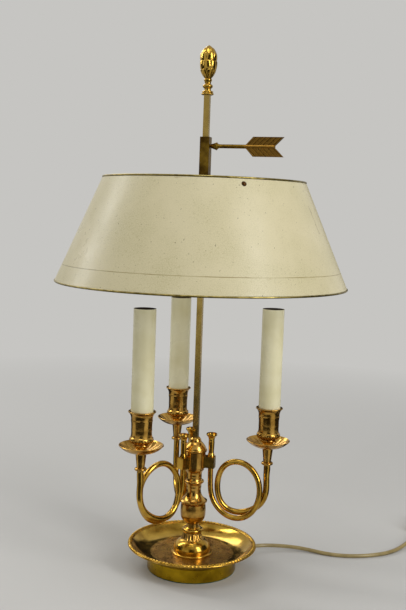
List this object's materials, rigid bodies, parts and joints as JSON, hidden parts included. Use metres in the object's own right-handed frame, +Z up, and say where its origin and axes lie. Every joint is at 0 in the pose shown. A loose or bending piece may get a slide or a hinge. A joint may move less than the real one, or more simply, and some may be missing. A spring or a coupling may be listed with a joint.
{
  "type": "bouillotte lamp",
  "caption": "Table lamp with candle tubes on looped hunting horn arms around a turned column, a dish foot, and a round cone shade that slides on a square rod and is held by an arrow key.",
  "frame": {"origin": "centre of the underside of the round foot", "axes": "+Z up along the rod, -Y towards the front of the lamp, +X to the right seen from the front"},
  "size_m": [0.6354, 0.4412, 0.66],
  "materials": {
    "gilt_brass_arms": "polished and lacquered",
    "gilt_brass_dish": "polished and lacquered",
    "olive_gilt_foot": "satin lacquered",
    "gilt_brass_column": "polished and lacquered",
    "brass_rod": "drawn and lacquered",
    "aged_brass_key": "aged",
    "brown_screws": "aged",
    "painted_tole": "satin paint with fine crackle",
    "gold_rim_wire": "aged",
    "cream_candle_tube": "satin",
    "dark_lampholder": "moulded",
    "plated_steel": "zinc plated",
    "cast_iron_weight": "as cast",
    "green_felt": "pressed felt",
    "beige_cord": "extruded",
    "cream_switch": "moulded",
    "white_rocker": "moulded",
    "nickel_pins": "plated"
  },
  "bodies": {
    "lamp": {"arm_block_back": "gilt_brass_arms", "arm_block_left": "gilt_brass_arms", "arm_block_right": "gilt_brass_arms", "base_felt": "green_felt", "base_weight": "cast_iron_weight", "candle_cup_back": "gilt_brass_arms", "candle_cup_left": "gilt_brass_arms", "candle_cup_right": "gilt_brass_arms", "candle_stem_back": "gilt_brass_arms", "candle_stem_left": "gilt_brass_arms", "candle_stem_right": "gilt_brass_arms", "candle_tube_back": "cream_candle_tube", "candle_tube_left": "cream_candle_tube", "candle_tube_right": "cream_candle_tube", "column_shaft": "gilt_brass_column", "cord_coil": "beige_cord", "cord_free": "beige_cord", "dish": "gilt_brass_dish", "dome_collar": "gilt_brass_column", "drip_pan_back": "gilt_brass_arms", "drip_pan_left": "gilt_brass_arms", "drip_pan_right": "gilt_brass_arms", "finial": "gilt_brass_column", "foot_ring": "olive_gilt_foot", "holder_nipple_back": "plated_steel", "holder_nipple_left": "plated_steel", "holder_nipple_right": "plated_steel", "horn_back": "gilt_brass_arms", "horn_left": "gilt_brass_arms", "horn_right": "gilt_brass_arms", "hub_cap": "gilt_brass_column", "hub_drum": "gilt_brass_column", "lampholder_back": "dark_lampholder", "lampholder_left": "dark_lampholder", "lampholder_right": "dark_lampholder", "mouthpiece_back": "gilt_brass_arms", "mouthpiece_left": "gilt_brass_arms", "mouthpiece_right": "gilt_brass_arms", "plug_body": "cream_switch", "plug_pins": "nickel_pins", "rim_moulding": "gilt_brass_dish", "square_rod": "brass_rod", "strain_relief": "beige_cord", "switch_base": "cream_switch", "switch_cover": "cream_switch", "tie_nut": "plated_steel", "tie_tube": "plated_steel", "urn": "gilt_brass_column"},
    "shade_carriage": {"shade_shell": "painted_tole", "shade_wire_top": "gold_rim_wire", "shade_wire_bottom": "gold_rim_wire", "spider": "aged_brass_key", "spider_screws": "brown_screws", "sleeve": "aged_brass_key"},
    "arrow_key_screw": {"arrow_key": "aged_brass_key"},
    "rocker": {"switch_rocker": "white_rocker"}
  },
  "joints": [
    {"name": "shade_slide", "type": "slide", "parent": "lamp", "child": "shade_carriage", "axis": [0, 0, 1], "range_m": [-0.18, 0.05]},
    {"name": "key_turn", "type": "hinge", "parent": "shade_carriage", "child": "arrow_key_screw", "pos_m": [0, 0, 0.538], "axis": [0.9659, -0.2588, 0], "range_deg": [0, 360]},
    {"name": "switch_rock", "type": "hinge", "parent": "lamp", "child": "rocker", "pos_m": [0.34359, 0.17086, 0.013], "axis": [-0.8988, 0.4384, 0], "range_deg": [0, 20]}
  ]
}
